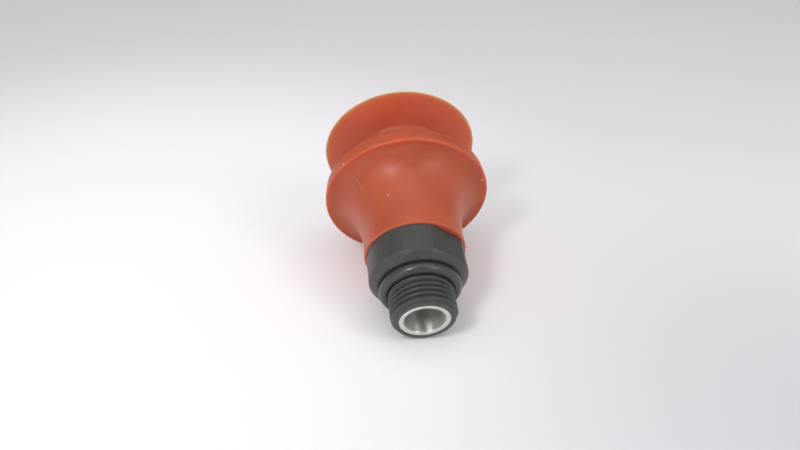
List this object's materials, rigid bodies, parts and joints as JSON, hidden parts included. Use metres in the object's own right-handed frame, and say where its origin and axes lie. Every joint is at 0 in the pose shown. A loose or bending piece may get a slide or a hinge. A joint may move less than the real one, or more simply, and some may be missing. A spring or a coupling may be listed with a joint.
{
  "type": "bellows suction cup",
  "caption": "Soft suction cup with short bellows, on a threaded plastic fitting with a collar, wrench flats, a sealing ring and a sleeved through bore.",
  "frame": {"origin": "centre of the threaded end face, which is also the lowest face of the part as stored", "axes": "+Z along the common axis, from the threaded end towards the mouth of the cup; +Y and -Y out of the two wrench flats"},
  "size_m": [0.0562, 0.0562, 0.075],
  "materials": {
    "silicone": "satin orange-red silicone",
    "black_plastic": "satin, moulded",
    "black_rubber": "smooth, slightly glossy",
    "bare_metal": "turned, bright"
  },
  "bodies": {
    "root": {"bellows_cup": "silicone", "threaded_fitting": "black_plastic", "sealing_ring": "black_rubber", "bore_sleeve": "bare_metal"}
  },
  "joints": []
}
